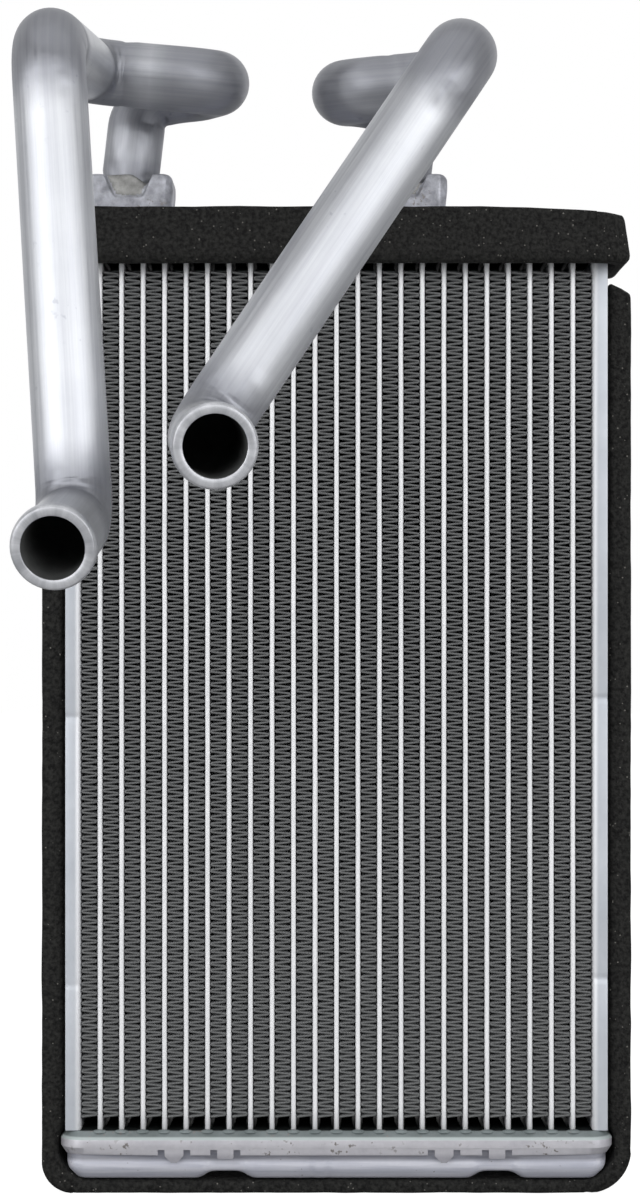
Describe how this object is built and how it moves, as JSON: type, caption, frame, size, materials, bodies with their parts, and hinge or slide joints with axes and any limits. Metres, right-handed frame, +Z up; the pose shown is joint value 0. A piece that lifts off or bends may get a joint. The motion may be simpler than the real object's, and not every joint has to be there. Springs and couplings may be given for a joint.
{
  "type": "heater core",
  "caption": "Brazed aluminium cabin heater core with flat tubes, folded fins, end tanks, two bent coolant pipes and foam seals.",
  "frame": {"origin": "middle of the underside of the bottom seal, at half the core's depth", "axes": "+X across the core to the right as seen from the pipe mouths, +Y from the pipe mouths through the core to the back, +Z up along the tubes to the tank with the pipes"},
  "size_m": [0.146, 0.1756, 0.2831],
  "materials": {
    "tube_aluminium": "bright clad sheet, satin",
    "fin_aluminium": "thin folded sheet, dull grey",
    "brazed_aluminium": "matte after furnace brazing, small stains",
    "pipe_aluminium": "drawn tube, satin with fine streaks",
    "seal_foam": "black cellular foam, matte"
  },
  "bodies": {
    "root": {"tube_01": "tube_aluminium", "tube_02": "tube_aluminium", "tube_03": "tube_aluminium", "tube_04": "tube_aluminium", "tube_05": "tube_aluminium", "tube_06": "tube_aluminium", "tube_07": "tube_aluminium", "tube_08": "tube_aluminium", "tube_09": "tube_aluminium", "tube_10": "tube_aluminium", "tube_11": "tube_aluminium", "tube_12": "tube_aluminium", "tube_13": "tube_aluminium", "tube_14": "tube_aluminium", "tube_15": "tube_aluminium", "tube_16": "tube_aluminium", "tube_17": "tube_aluminium", "tube_18": "tube_aluminium", "tube_19": "tube_aluminium", "tube_20": "tube_aluminium", "tube_21": "tube_aluminium", "tube_22": "tube_aluminium", "tube_23": "tube_aluminium", "fin_01": "fin_aluminium", "fin_02": "fin_aluminium", "fin_03": "fin_aluminium", "fin_04": "fin_aluminium", "fin_05": "fin_aluminium", "fin_06": "fin_aluminium", "fin_07": "fin_aluminium", "fin_08": "fin_aluminium", "fin_09": "fin_aluminium", "fin_10": "fin_aluminium", "fin_11": "fin_aluminium", "fin_12": "fin_aluminium", "fin_13": "fin_aluminium", "fin_14": "fin_aluminium", "fin_15": "fin_aluminium", "fin_16": "fin_aluminium", "fin_17": "fin_aluminium", "fin_18": "fin_aluminium", "fin_19": "fin_aluminium", "fin_20": "fin_aluminium", "fin_21": "fin_aluminium", "fin_22": "fin_aluminium", "fin_23": "fin_aluminium", "fin_24": "fin_aluminium", "side_plate_left": "brazed_aluminium", "side_plate_right": "brazed_aluminium", "header_bottom": "brazed_aluminium", "header_top": "brazed_aluminium", "tank_bottom": "brazed_aluminium", "tank_top": "brazed_aluminium", "tank_partition": "brazed_aluminium", "pipe_saddle_left": "brazed_aluminium", "pipe_saddle_right": "brazed_aluminium", "pipe_left": "pipe_aluminium", "pipe_right": "pipe_aluminium", "seal_top": "seal_foam", "seal_perimeter": "seal_foam"}
  },
  "joints": []
}
